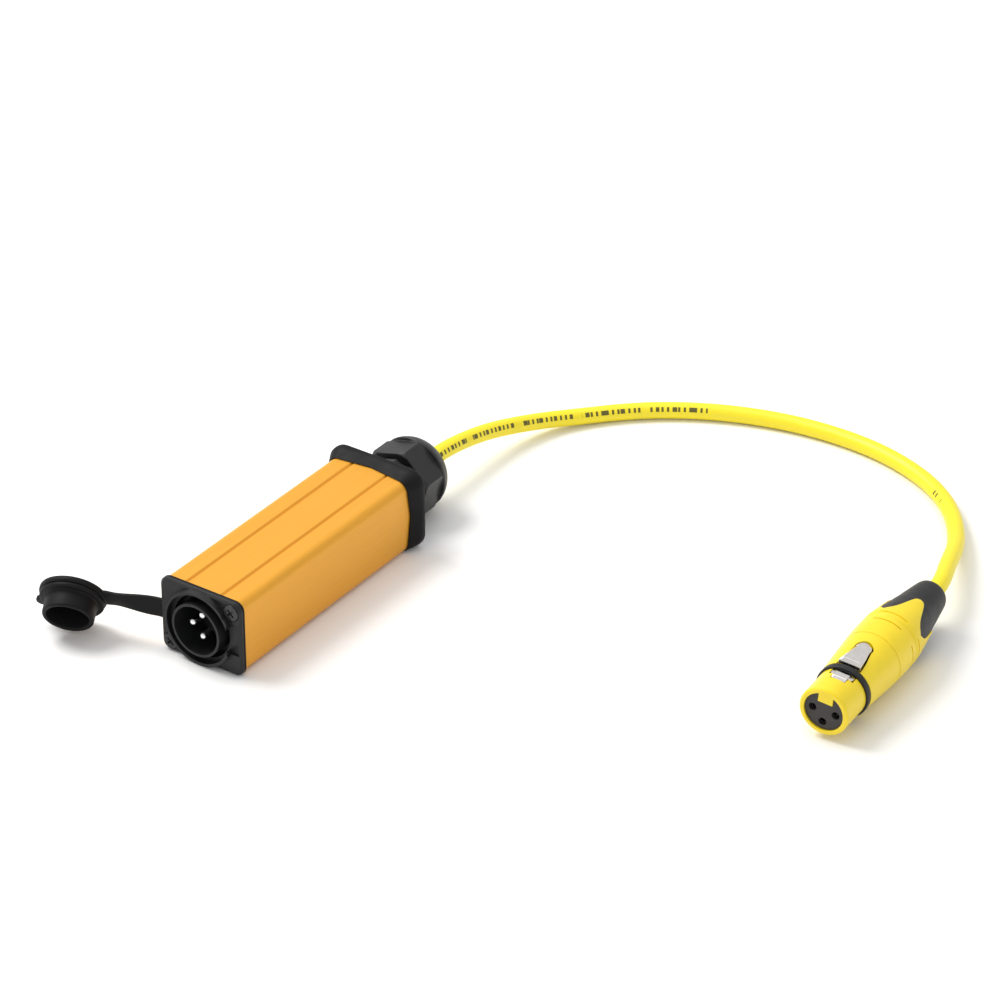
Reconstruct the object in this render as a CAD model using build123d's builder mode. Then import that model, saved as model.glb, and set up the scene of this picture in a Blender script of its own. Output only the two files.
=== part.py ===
from build123d import *
import os
import math

os.makedirs("parts", exist_ok=True)

# ---------------------------------------------------------------------------
# Inline direct injection box with a tethered dust cap and a captive pigtail.
#
# Frame: origin on the axis of the male 3-pin socket, in the front face of its
# square flange.  +X is to the right across the flange, +Y runs back along the
# box towards the cable gland, +Z is up.  The ground is at z = floor_z.
# Millimetres throughout.
# ---------------------------------------------------------------------------

floor_z = -13.0

# --- box ---
tube_w, tube_h, tube_r = 30.0, 25.6, 3.2      # outside of the extruded enclosure
tube_wall = 1.2
tube_y0, tube_y1 = 2.3, 88.0                  # front and rear ends of the enclosure
port_x, port_z = 12.0, 9.5                    # screw ports, half of a 24 x 19 pattern
port_r, port_bore = 2.4, 1.2
groove_x = 6.7                                # shallow V grooves along the top
board_z = -4.4                                # top face of the circuit board
board_t = 1.6

# --- male connector ---
plate_w, plate_h, plate_r, plate_t = 31.0, 26.0, 3.0, 1.4
gasket_t = 0.9
socket_r = 8.27                               # inside of the socket sleeve
sleeve_r = 9.1
sleeve_front = -2.6
pin_r = 1.2
pin_offset = 3.85
insert_face = 9.0

# --- rear cap and gland ---
cap_w, cap_h, cap_t = 36.0, 28.0, 4.7
cap_zc = floor_z + cap_h / 2                  # rear cap stands on the ground
cap_y0, cap_y1 = 88.0, 92.7
gland_r = 9.9                                 # gland thread, outside
nut_corner = 13.0                             # hexagon, centre to corner
nut_turn = 76.0                               # where one hexagon corner points, degrees from +X
nut_y0, nut_y1, nut_y2 = 101.0, 110.6, 118.0  # hexagon front, hexagon rear, dome tip

# --- cable ---
cable_r = 2.8
core_r = 0.78
ball_gap = 0.05                               # running clearance at each bend joint
lift = 0.05                                   # keeps the cable just off the ground
cz = floor_z + cable_r + lift
bend_1 = (0.0, 122.0, 0.0)
bend_2 = (22.9, 193.3, cz)
bend_3 = (97.6, 222.9, cz)
bend_4 = (148.8, 200.0, cz + 0.3)

# --- female connector on the pigtail ---
nose_c = (176.98, 72.93, -3.16)               # centre of the nose's front face
nose_yaw, nose_pitch, nose_roll = 4.2, 0.55, 6.2

# --- dust cap ---
strap_w, strap_t = 6.6, 1.2
fold_c = (-17.2, 1.85, 0.0)                   # fold line beside the flange
strap_heading = 197.4                         # direction of the strap, degrees from +X
strap_len = 17.35                             # fold line to the cap's edge
strap_mid = 8.65                              # fold line to the twist line
cap_reach = 11.0                              # cap's edge fold to the cap's centre
cap_twist = 27.5                              # twist of the strap between its ends
cap_nod = 6.1                                 # slight bend where the strap meets the cap


def vec(a, b, k=1.0):
    return (a[0] + b[0] * k, a[1] + b[1] * k, a[2] + b[2] * k)


# Planes square to Y: x across, y up, normal towards -Y (out of the front).
def face(y):
    return Plane.XZ.offset(-y)


# ===========================================================================
# BOX
# ===========================================================================

# Extruded enclosure tube: rounded rectangle, screw ports in the four corners,
# a pair of board rails on each side wall and two shallow grooves on top.
with BuildPart() as enclosure_tube:
    with BuildSketch(face(tube_y0)):
        RectangleRounded(tube_w, tube_h, tube_r)
        RectangleRounded(tube_w - 2 * tube_wall, tube_h - 2 * tube_wall, tube_r - tube_wall, mode=Mode.SUBTRACT)
        with Locations((groove_x, tube_h / 2), (-groove_x, tube_h / 2)):
            Rectangle(0.9, 0.9, rotation=45, mode=Mode.SUBTRACT)
        with Locations((port_x, port_z), (port_x, -port_z), (-port_x, port_z), (-port_x, -port_z)):
            Circle(port_r)
        with Locations((tube_w / 2 - tube_wall - 0.5, board_z + 0.5), (tube_w / 2 - tube_wall - 0.5, board_z - board_t - 0.5),
                       (-tube_w / 2 + tube_wall + 0.5, board_z + 0.5), (-tube_w / 2 + tube_wall + 0.5, board_z - board_t - 0.5)):
            Rectangle(1.2, 0.8)
        with Locations((port_x, port_z), (port_x, -port_z), (-port_x, port_z), (-port_x, -port_z)):
            Circle(port_bore, mode=Mode.SUBTRACT)
        # trim what the ports add outside the rounded rectangle
        RectangleRounded(tube_w, tube_h, tube_r, mode=Mode.INTERSECT)
        with Locations((groove_x, tube_h / 2), (-groove_x, tube_h / 2)):
            Rectangle(0.9, 0.9, rotation=45, mode=Mode.SUBTRACT)
    extrude(amount=-(tube_y1 - tube_y0))

enclosure_tube.part.label = "enclosure_tube"
export_step(enclosure_tube.part, "parts/enclosure_tube.step")

# Rubber gasket behind the flange, with the short root tab of the cap strap.
with BuildPart() as front_gasket:
    with BuildSketch(face(plate_t)):
        RectangleRounded(plate_w, plate_h, plate_r)
        Circle(11.6, mode=Mode.SUBTRACT)
        with Locations((port_x, port_z), (-port_x, -port_z)):
            Circle(1.7, mode=Mode.SUBTRACT)
        with Locations((-(plate_w / 2 + 0.6), 0)):
            Rectangle(2.2, strap_w)
    extrude(amount=-gasket_t)
    # rolled end of the root tab, on the fold line
    with BuildSketch(Plane.XY.offset(-strap_w / 2)):
        with Locations((fold_c[0], fold_c[1])):
            Circle(strap_t / 2)
    extrude(amount=strap_w)
front_gasket.part.label = "front_gasket"
export_step(front_gasket.part, "parts/front_gasket.step")

# Die-cast shell of the male connector: square flange with a bevelled edge,
# raised collar, recess, socket sleeve and the barrel behind the flange.
with BuildPart() as male_shell:
    with BuildSketch(face(0.0)):
        RectangleRounded(plate_w, plate_h, plate_r)
    extrude(amount=-plate_t)
    chamfer(male_shell.faces().sort_by(Axis.Y)[0].edges(), 0.7)
    with BuildSketch(face(-1.8)):
        Circle(12.8)
    extrude(amount=-1.8)
    with BuildSketch(face(plate_t)):
        Circle(11.4)
    extrude(amount=-(16.6 - plate_t))
    # recess inside the collar, then the deeper groove round the sleeve
    with BuildSketch(face(-1.8)):
        Circle(11.8)
    extrude(amount=-2.4, mode=Mode.SUBTRACT)
    with BuildSketch(face(0.0)):
        Circle(10.7)
        Circle(sleeve_r, mode=Mode.SUBTRACT)
    extrude(amount=-5.0, mode=Mode.SUBTRACT)
    # keyway through the collar on the latch side
    with BuildSketch(face(-1.8)):
        with Locations((12.9, 0)):
            Rectangle(3.4, 11.0)
    extrude(amount=-2.5, mode=Mode.SUBTRACT)
    # socket sleeve
    with BuildSketch(face(sleeve_front)):
        Circle(sleeve_r)
    extrude(amount=-8.0)
    with BuildSketch(face(sleeve_front)):
        Circle(socket_r)
    extrude(amount=-(16.6 - sleeve_front), mode=Mode.SUBTRACT)
    # rear counterbore for the insert's flange
    with BuildSketch(face(14.6)):
        Circle(9.7)
    extrude(amount=-2.0, mode=Mode.SUBTRACT)
    # catch for the mating latch, inside the sleeve
    with BuildSketch(face(1.2)):
        with Locations((socket_r, 0)):
            Rectangle(1.0, 5.0)
    extrude(amount=-3.0, mode=Mode.SUBTRACT)
    # screw holes with countersinks
    for sx, sz in ((port_x, port_z), (-port_x, -port_z)):
        with BuildSketch(face(0.0)):
            with Locations((sx, sz)):
                Circle(1.65)
        extrude(amount=-plate_t, mode=Mode.SUBTRACT)
        with BuildSketch(face(-1.8)):
            with Locations((sx, sz)):
                Circle(2.85)
        extrude(amount=-2.7, mode=Mode.SUBTRACT)
male_shell.part.label = "male_shell"
export_step(male_shell.part, "parts/male_shell.step")

# Insulator of the male connector, with a short polarising rib.
with BuildPart() as male_insert:
    with BuildSketch(face(insert_face)):
        Circle(socket_r - 0.06)
    extrude(amount=-(14.65 - insert_face))
    with BuildSketch(face(14.65)):
        Circle(9.6)
    extrude(amount=-1.95)
    with BuildSketch(face(16.6)):
        Circle(7.6)
    extrude(amount=-2.4)
    with BuildSketch(face(6.4)):
        with Locations((7.0, 0)):
            Rectangle(1.8, 4.2)
    extrude(amount=-2.6)
    with BuildSketch(face(6.0)):
        with Locations((0, pin_offset), (0, -pin_offset), (-pin_offset, 0)):
            Circle(pin_r + 0.02)
    extrude(amount=-14.0, mode=Mode.SUBTRACT)
male_insert.part.label = "male_insert"
export_step(male_insert.part, "parts/male_insert.step")

# Three contact pins with rounded tips and solder cups.
with BuildPart() as male_pins:
    with BuildSketch(face(0.4)):
        with Locations((0, pin_offset), (0, -pin_offset), (-pin_offset, 0)):
            Circle(pin_r)
    extrude(amount=-21.8)
    fillet(male_pins.edges().filter_by(GeomType.CIRCLE).group_by(Axis.Y)[0], 0.85)
    with BuildSketch(face(22.2)):
        with Locations((0, pin_offset), (0, -pin_offset), (-pin_offset, 0)):
            Circle(0.8)
    extrude(amount=2.6, mode=Mode.SUBTRACT)
male_pins.part.label = "male_pins"
export_step(male_pins.part, "parts/male_pins.step")

# Two cross-recess screws holding the flange and gasket to the tube.
with BuildPart() as panel_screws:
    with BuildSketch(face(-0.35)):
        with Locations((port_x, port_z), (-port_x, -port_z)):
            Circle(2.7)
    extrude(amount=-1.2)
    fillet(panel_screws.edges().filter_by(GeomType.CIRCLE).group_by(Axis.Y)[0], 0.3)
    with BuildSketch(face(0.85)):
        with Locations((port_x, port_z), (-port_x, -port_z)):
            Circle(1.18)
    extrude(amount=-8.0)
    with BuildSketch(face(-0.35)):
        with Locations((port_x, port_z), (-port_x, -port_z)):
            Rectangle(3.0, 0.6, rotation=45)
            Rectangle(3.0, 0.6, rotation=-45)
    extrude(amount=-0.8, mode=Mode.SUBTRACT)
panel_screws.part.label = "panel_screws"
export_step(panel_screws.part, "parts/panel_screws.step")

# Rear cap: soft rounded pad closing the tube, with a plug that fits inside it.
with BuildPart() as rear_cap:
    with BuildSketch(face(cap_y0)):
        with Locations((0, cap_zc)):
            RectangleRounded(cap_w, cap_h, 5.5)
    extrude(amount=-(cap_y1 - cap_y0))
    fillet(rear_cap.edges().group_by(Axis.Y)[0], 1.6)
    fillet(rear_cap.faces().sort_by(Axis.Y)[-1].edges(), 1.8)
    with BuildSketch(face(cap_y0 - 8.0)):
        RectangleRounded(tube_w - 2 * tube_wall - 0.3, tube_h - 2 * tube_wall - 0.3, 1.6)
        with Locations((port_x, port_z), (port_x, -port_z), (-port_x, port_z), (-port_x, -port_z)):
            Circle(port_r + 0.15, mode=Mode.SUBTRACT)
            Rectangle(2 * port_r + 0.3, 2 * port_r + 0.3, mode=Mode.SUBTRACT)
        with Locations((13.6, board_z - 0.8), (-13.6, board_z - 0.8)):
            Rectangle(3.2, 4.4, mode=Mode.SUBTRACT)
    extrude(amount=-8.0)
    with BuildSketch(face(cap_y0 - 9.0)):
        Circle(gland_r + 0.05)
    extrude(amount=-20.0, mode=Mode.SUBTRACT)
    with BuildSketch(face(cap_y0)):
        with Locations((port_x, port_z), (port_x, -port_z), (-port_x, port_z), (-port_x, -port_z)):
            Circle(1.65)
    extrude(amount=-6.0, mode=Mode.SUBTRACT)
    with BuildSketch(face(cap_y1 - 2.3)):
        with Locations((port_x, port_z), (port_x, -port_z), (-port_x, port_z), (-port_x, -port_z)):
            Circle(2.6)
    extrude(amount=-4.0, mode=Mode.SUBTRACT)
rear_cap.part.label = "rear_cap"
export_step(rear_cap.part, "parts/rear_cap.step")

# Four cross-recess screws through the rear cap into the screw ports.
with BuildPart() as rear_screws:
    with BuildSketch(face(cap_y1 - 2.3)):
        with Locations((port_x, port_z), (port_x, -port_z), (-port_x, port_z), (-port_x, -port_z)):
            Circle(2.5)
    extrude(amount=-1.9)
    with BuildSketch(face(cap_y1 - 2.3)):
        with Locations((port_x, port_z), (port_x, -port_z), (-port_x, port_z), (-port_x, -port_z)):
            Circle(1.18)
    extrude(amount=9.0)
    with BuildSketch(face(cap_y1 - 0.4)):
        with Locations((port_x, port_z), (port_x, -port_z), (-port_x, port_z), (-port_x, -port_z)):
            Rectangle(3.0, 0.6, rotation=45)
            Rectangle(3.0, 0.6, rotation=-45)
    extrude(amount=0.9, mode=Mode.SUBTRACT)
rear_screws.part.label = "rear_screws"
export_step(rear_screws.part, "parts/rear_screws.step")

# Sealing washer between the rear cap and the gland.
with BuildPart() as gland_washer:
    with BuildSketch(face(cap_y1)):
        Circle(11.6)
        Circle(gland_r + 0.1, mode=Mode.SUBTRACT)
    extrude(amount=-1.0)
gland_washer.part.label = "gland_washer"
export_step(gland_washer.part, "parts/gland_washer.step")

# Gland body: threaded nipple, hexagon and the collar the dome nut screws onto.
with BuildPart() as gland_body:
    with BuildSketch(face(81.0)):
        Circle(gland_r)
    extrude(amount=-(93.7 - 81.0))
    with BuildSketch(face(93.7)):
        RegularPolygon(12.7, 6, major_radius=True, rotation=nut_turn)
    extrude(amount=-4.2)
    chamfer(gland_body.faces().sort_by(Axis.Y)[-1].edges(), 0.4)
    with BuildSketch(face(97.9)):
        Circle(9.3)
    extrude(amount=-8.1)
    with BuildSketch(face(81.0)):
        Circle(5.2)
    extrude(amount=-17.0, mode=Mode.SUBTRACT)
    with BuildSketch(face(98.0)):
        Circle(8.2)
    extrude(amount=-9.0, mode=Mode.SUBTRACT)
gland_body.part.label = "gland_body"
export_step(gland_body.part, "parts/gland_body.step")

# Rubber seal squeezed round the cable.
with BuildPart() as gland_seal:
    with BuildSketch(face(98.1)):
        Circle(6.7)
        Circle(cable_r + 0.03, mode=Mode.SUBTRACT)
    extrude(amount=-13.0)
    chamfer(gland_seal.edges().filter_by(GeomType.CIRCLE).filter_by(lambda e: e.radius > 6).group_by(Axis.Y)[-1], 1.2)
gland_seal.part.label = "gland_seal"
export_step(gland_seal.part, "parts/gland_seal.step")

# Clamping cage: a ring of fingers the dome nut closes onto the seal.
with BuildPart() as gland_claw:
    with BuildSketch(face(98.1)):
        Circle(8.1)
        Circle(6.8, mode=Mode.SUBTRACT)
    extrude(amount=-13.0)
    chamfer(gland_claw.edges().filter_by(GeomType.CIRCLE).filter_by(lambda e: e.radius > 8).group_by(Axis.Y)[-1], 0.9)
    with BuildSketch(face(102.0)):
        with PolarLocations(7.4, 8):
            Rectangle(4.0, 0.7)
    extrude(amount=-12.0, mode=Mode.SUBTRACT)
gland_claw.part.label = "gland_claw"
export_step(gland_claw.part, "parts/gland_claw.step")

# Dome nut: chamfered hexagon, round shoulder and a dome the cable leaves by.
with BuildPart() as gland_nut:
    with BuildSketch(face(nut_y0)):
        RegularPolygon(nut_corner, 6, major_radius=True, rotation=nut_turn)
    extrude(amount=-(nut_y1 - nut_y0))
    # turned ends: the hexagon's corners are cut back by a cone at each end
    with BuildSketch(Plane.XY):
        with BuildLine():
            Polyline((0, nut_y0), (11.9, nut_y0), (13.05, nut_y0 + 1.2), (13.05, nut_y1 - 1.4), (11.6, nut_y1), (0, nut_y1), close=True)
        make_face()
    revolve(axis=Axis.Y, mode=Mode.INTERSECT)
    with BuildSketch(Plane.XY):
        with BuildLine():
            Polyline((0, nut_y1 - 0.2), (12.3, nut_y1 - 0.2), (12.5, nut_y1 + 0.3), (12.3, nut_y1 + 1.0))
            ThreePointArc((12.3, nut_y1 + 1.0), (9.6, nut_y2 - 2.2), (4.2, nut_y2))
            Polyline((4.2, nut_y2), (0, nut_y2), (0, nut_y1 - 0.2))
        make_face()
    revolve(axis=Axis.Y)
    # inside: thread bore over the gland body, cone onto the claw, cable hole
    with BuildSketch(Plane.XY):
        with BuildLine():
            Polyline((0, nut_y0 - 0.1), (9.35, nut_y0 - 0.1), (9.35, 106.2), (8.3, 107.4), (8.3, 110.0), (7.2, 111.3), (6.9, 111.4), (3.1, 113.8), (3.1, nut_y2 + 1), (0, nut_y2 + 1), close=True)
        make_face()
    revolve(axis=Axis.Y, mode=Mode.SUBTRACT)
gland_nut.part.label = "gland_nut"
export_step(gland_nut.part, "parts/gland_nut.step")

# Circuit board on its rails.
with BuildPart() as circuit_board:
    with BuildSketch(Plane.XY.offset(board_z - board_t)):
        with Locations((0, 52.0)):
            Rectangle(26.8, 50.0)
        with Locations((0, 0)):
            for hx, hy in ((-6, 30), (0, 30), (6, 30), (-6, 74), (0, 74), (6, 74)):
                with Locations((hx, hy)):
                    Circle(0.6, mode=Mode.SUBTRACT)
    extrude(amount=board_t)
circuit_board.part.label = "circuit_board"
export_step(circuit_board.part, "parts/circuit_board.step")

# Shielding can of the audio transformer, open at the board.
with BuildPart() as transformer_can:
    with BuildSketch(Plane.XY.offset(board_z)):
        with Locations((0, 48.0)):
            RectangleRounded(18.8, 20.0, 1.2)
    extrude(amount=14.4)
    fillet(transformer_can.faces().sort_by(Axis.Z)[-1].edges(), 0.8)
    with BuildSketch(Plane.XY.offset(board_z)):
        with Locations((0, 48.0)):
            Rectangle(17.6, 18.8)
    extrude(amount=13.7, mode=Mode.SUBTRACT)
transformer_can.part.label = "transformer_can"
export_step(transformer_can.part, "parts/transformer_can.step")

# Laminated core: outer frame and centre leg.
with BuildPart() as transformer_core:
    with BuildSketch(Plane.XY.offset(board_z + 2.4)):
        with Locations((0, 48.0)):
            Rectangle(17.2, 15.0)
        with Locations((-5.3, 48.0), (5.3, 48.0)):
            Rectangle(4.0, 9.0, mode=Mode.SUBTRACT)
    extrude(amount=6.0)
transformer_core.part.label = "transformer_core"
export_step(transformer_core.part, "parts/transformer_core.step")

# Wound bobbin round the centre leg.
with BuildPart() as transformer_bobbin:
    with BuildSketch(Plane.XZ.offset(-43.7)):
        with Locations((0, board_z + 5.4)):
            Rectangle(14.2, 9.6)
            Rectangle(6.8, 6.2, mode=Mode.SUBTRACT)
    extrude(amount=-0.8)
    with BuildSketch(Plane.XZ.offset(-51.5)):
        with Locations((0, board_z + 5.4)):
            Rectangle(14.2, 9.6)
            Rectangle(6.8, 6.2, mode=Mode.SUBTRACT)
    extrude(amount=-0.8)
    with BuildSketch(Plane.XZ.offset(-44.4)):
        with Locations((0, board_z + 5.4)):
            RectangleRounded(13.4, 8.8, 1.5)
            Rectangle(6.8, 6.2, mode=Mode.SUBTRACT)
    extrude(amount=-7.2)
transformer_bobbin.part.label = "transformer_bobbin"
export_step(transformer_bobbin.part, "parts/transformer_bobbin.step")

# Two electrolytic capacitors standing on the board.
with BuildPart() as capacitors:
    with BuildSketch(Plane.XY.offset(board_z)):
        with Locations((-5.5, 66.0), (5.5, 66.0)):
            Circle(3.15)
    extrude(amount=8.0)
    fillet(capacitors.edges().filter_by(GeomType.CIRCLE).group_by(Axis.Z)[-1], 0.4)
capacitors.part.label = "capacitors"
export_step(capacitors.part, "parts/capacitors.step")

# Small resistors lying on the board.
with BuildPart() as resistors:
    with Locations((-9.5, 32.5, board_z + 0.3), (-3.2, 33.5, board_z + 0.3), (3.2, 33.5, board_z + 0.3), (9.5, 32.5, board_z + 0.3)):
        Box(1.6, 3.2, 0.6)
resistors.part.label = "resistors"
export_step(resistors.part, "parts/resistors.step")

# Three hook-up wires from the pins' solder cups down to the board.
with BuildPart() as hookup_wires:
    for (px, pz), bx in (((0, pin_offset), 0.0), ((0, -pin_offset), 6.0), ((-pin_offset, 0), -6.0)):
        with BuildLine() as wire_path:
            Spline((px, 20.6, pz), (px * 0.9 + bx * 0.1, 25.5, pz), (bx, 30.0, board_z + 0.1),
                   tangents=((0, 1, 0), (0, 0.05, -1)))
        with BuildSketch(face(20.6)):
            with Locations((px, pz)):
                Circle(0.6)
        sweep(path=wire_path.wires()[0])
hookup_wires.part.label = "hookup_wires"
export_step(hookup_wires.part, "parts/hookup_wires.step")

# ===========================================================================
# CABLE
# ===========================================================================

# Route of the pigtail between its bend joints.
route_a = [bend_1, (0.1, 131.0, -0.6), (0.6, 141.4, -2.1), (2.1, 153.0, -4.2), (4.9, 164.3, -6.6), (9.2, 174.9, -8.6), (15.4, 184.5, -9.8), bend_2]
route_b = [bend_2, (31.5, 201.1, cz), (41.1, 207.8, cz), (51.5, 213.4, cz), (62.6, 217.8, cz), (74.0, 220.9, cz), (85.8, 222.6, cz), bend_3]
route_c = [bend_3, (109.4, 221.7, cz), (120.6, 218.8, cz), (131.2, 214.3, cz), (140.7, 208.1, cz), bend_4]
tan_1 = (0.0, 1.0, -0.02)
tan_2 = (0.70, 0.72, 0.0)
tan_3 = (1.0, -0.03, 0.0)
tan_4 = (0.64, -0.77, 0.03)

# Local axes of the female connector.
cy, sy = math.cos(math.radians(nose_yaw)), math.sin(math.radians(nose_yaw))
cp, sp = math.cos(math.radians(nose_pitch)), math.sin(math.radians(nose_pitch))
cr, sr = math.cos(math.radians(nose_roll)), math.sin(math.radians(nose_roll))
out_dir = (sy * cp, -cy * cp, -sp)
flat_x = (cy, sy, 0.0)
# up direction before roll: out x flat_x gives the upright direction
up0 = (out_dir[1] * flat_x[2] - out_dir[2] * flat_x[1],
       out_dir[2] * flat_x[0] - out_dir[0] * flat_x[2],
       out_dir[0] * flat_x[1] - out_dir[1] * flat_x[0])
side_dir = tuple(flat_x[i] * cr - up0[i] * sr for i in range(3))
up_dir = tuple(up0[i] * cr + flat_x[i] * sr for i in range(3))
rear_dir = tuple(-c for c in out_dir)
nose_plane = Plane(origin=nose_c, x_dir=side_dir, z_dir=out_dir)


def depth(d):
    """Plane square to the connector's axis, d behind the nose's front face."""
    return nose_plane.offset(-d)


# Plane holding the connector's axis: x is the radius (up), y runs to the rear.
axis_plane = Plane(origin=nose_c, x_dir=up_dir, z_dir=tuple(
    up_dir[(i + 1) % 3] * rear_dir[(i + 2) % 3] - up_dir[(i + 2) % 3] * rear_dir[(i + 1) % 3] for i in range(3)))
plug_axis = Axis(origin=nose_c, direction=rear_dir)


def at(d, u=0.0, v=0.0):
    return tuple(nose_c[i] + rear_dir[i] * d + side_dir[i] * u + up_dir[i] * v for i in range(3))


boot_len = 73.5
cable_end = 33.0                                # depth at which the jacket is stripped
route_d = [bend_4, (155.7, 189.9, -8.7), (161.3, 178.9, -6.7), (165.6, 167.3, -4.4), at(boot_len + 3)]


def start_plane(p, t):
    return Plane(origin=p, z_dir=t)


# Short tail of the cable, from inside the box out through the gland.
with BuildPart() as cable_tail:
    with BuildSketch(face(79.0)):
        Circle(cable_r)
    extrude(amount=-(bend_1[1] - 79.0))
    with Locations(bend_1):
        Sphere(cable_r)
    with BuildSketch(face(78.0)):
        with Locations((0.85, 0), (-0.85, 0)):
            Circle(core_r + 0.03)
    extrude(amount=-(bend_1[1] + 8 - 79.0), mode=Mode.SUBTRACT)
cable_tail.part.label = "cable_tail"
export_step(cable_tail.part, "parts/cable_tail.step")

with BuildPart() as cable_tail_cores:
    with BuildSketch(face(77.0)):
        with Locations((0.85, 0), (-0.85, 0)):
            Circle(core_r)
    extrude(amount=-(bend_1[1] - 0.2 - 77.0))
    # bared ends turned down to the board
    for bx, side in ((6.0, 0.85), (-6.0, -0.85)):
        with BuildLine() as lead_path:
            Spline((side, 77.0, 0), (side * 2.2, 75.6, -1.0), (bx, 74.0, board_z + 0.1), tangents=((0, -1, 0), (0, -0.05, -1)))
        with BuildSketch(Plane(origin=(side, 77.0, 0), z_dir=(0, -1, 0))):
            Circle(0.6)
        sweep(path=lead_path.wires()[0])
cable_tail_cores.part.label = "cable_tail_cores"
export_step(cable_tail_cores.part, "parts/cable_tail_cores.step")


# Each run of cable starts as a shallow cup round the ball of the run before
# it and ends in a ball of its own.
def run_of_cable(route, tan_a, tan_b, ball, bores, straight_to=None):
    with BuildPart() as run:
        with BuildLine() as run_path:
            Spline(*route, tangents=(tan_a, tan_b))
            if straight_to:
                Line(route[-1], straight_to)
        with BuildSketch(start_plane(route[0], tan_a)):
            Circle(cable_r)
        sweep(path=run_path.wires()[0])
        if ball:
            with Locations(route[-1]):
                Sphere(cable_r)
        with Locations(route[0]):
            Sphere(3.1, mode=Mode.SUBTRACT)
        if bores:
            with BuildSketch(start_plane(route[0], tan_a)):
                with Locations((0.85, 0), (-0.85, 0)):
                    Circle(core_r + 0.03)
            sweep(path=run_path.wires()[0], mode=Mode.SUBTRACT)
    return run


def run_of_cores(route, tan_a, tan_b, straight_to=None):
    with BuildPart() as cores:
        with BuildLine() as core_path:
            Spline(*route, tangents=(tan_a, tan_b))
            if straight_to:
                Line(route[-1], straight_to)
        with BuildSketch(start_plane(route[0], tan_a)):
            with Locations((0.85, 0), (-0.85, 0)):
                Circle(core_r)
        sweep(path=core_path.wires()[0])
        with Locations(route[0]):
            Sphere(3.6, mode=Mode.SUBTRACT)
        with Locations(straight_to if straight_to else route[-1]):
            Sphere(3.2, mode=Mode.SUBTRACT)
    return cores


cable_a = run_of_cable(route_a, tan_1, tan_2, True, True)
cable_a.part.label = "cable_a"
export_step(cable_a.part, "parts/cable_a.step")
cable_b = run_of_cable(route_b, tan_2, tan_3, True, True)
cable_b.part.label = "cable_b"
export_step(cable_b.part, "parts/cable_b.step")
cable_c = run_of_cable(route_c, tan_3, tan_4, True, True)
cable_c.part.label = "cable_c"
export_step(cable_c.part, "parts/cable_c.step")
cable_d = run_of_cable(route_d, tan_4, out_dir, False, True, at(cable_end))
cable_d.part.label = "cable_d"
export_step(cable_d.part, "parts/cable_d.step")

cores_a = run_of_cores(route_a, tan_1, tan_2)
cores_a.part.label = "cable_a_cores"
export_step(cores_a.part, "parts/cable_a_cores.step")
cores_b = run_of_cores(route_b, tan_2, tan_3)
cores_b.part.label = "cable_b_cores"
export_step(cores_b.part, "parts/cable_b_cores.step")
cores_c = run_of_cores(route_c, tan_3, tan_4)
cores_c.part.label = "cable_c_cores"
export_step(cores_c.part, "parts/cable_c_cores.step")
cores_d = run_of_cores(route_d, tan_4, out_dir, at(cable_end))
cores_d.part.label = "cable_d_cores"
export_step(cores_d.part, "parts/cable_d_cores.step")

# ===========================================================================
# FEMALE CONNECTOR
# ===========================================================================

seam_d, seam_r = 42.0, 10.15                    # joint between the housing and its bushing


def meridian(turn):
    """Plane through the connector's axis; x is the radius at that angle, y runs to the rear."""
    c, s = math.cos(math.radians(turn)), math.sin(math.radians(turn))
    r = tuple(side_dir[i] * c + up_dir[i] * s for i in range(3))
    return Plane(origin=nose_c, x_dir=r, z_dir=tuple(
        r[(i + 1) % 3] * rear_dir[(i + 2) % 3] - r[(i + 2) % 3] * rear_dir[(i + 1) % 3] for i in range(3)))


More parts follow.
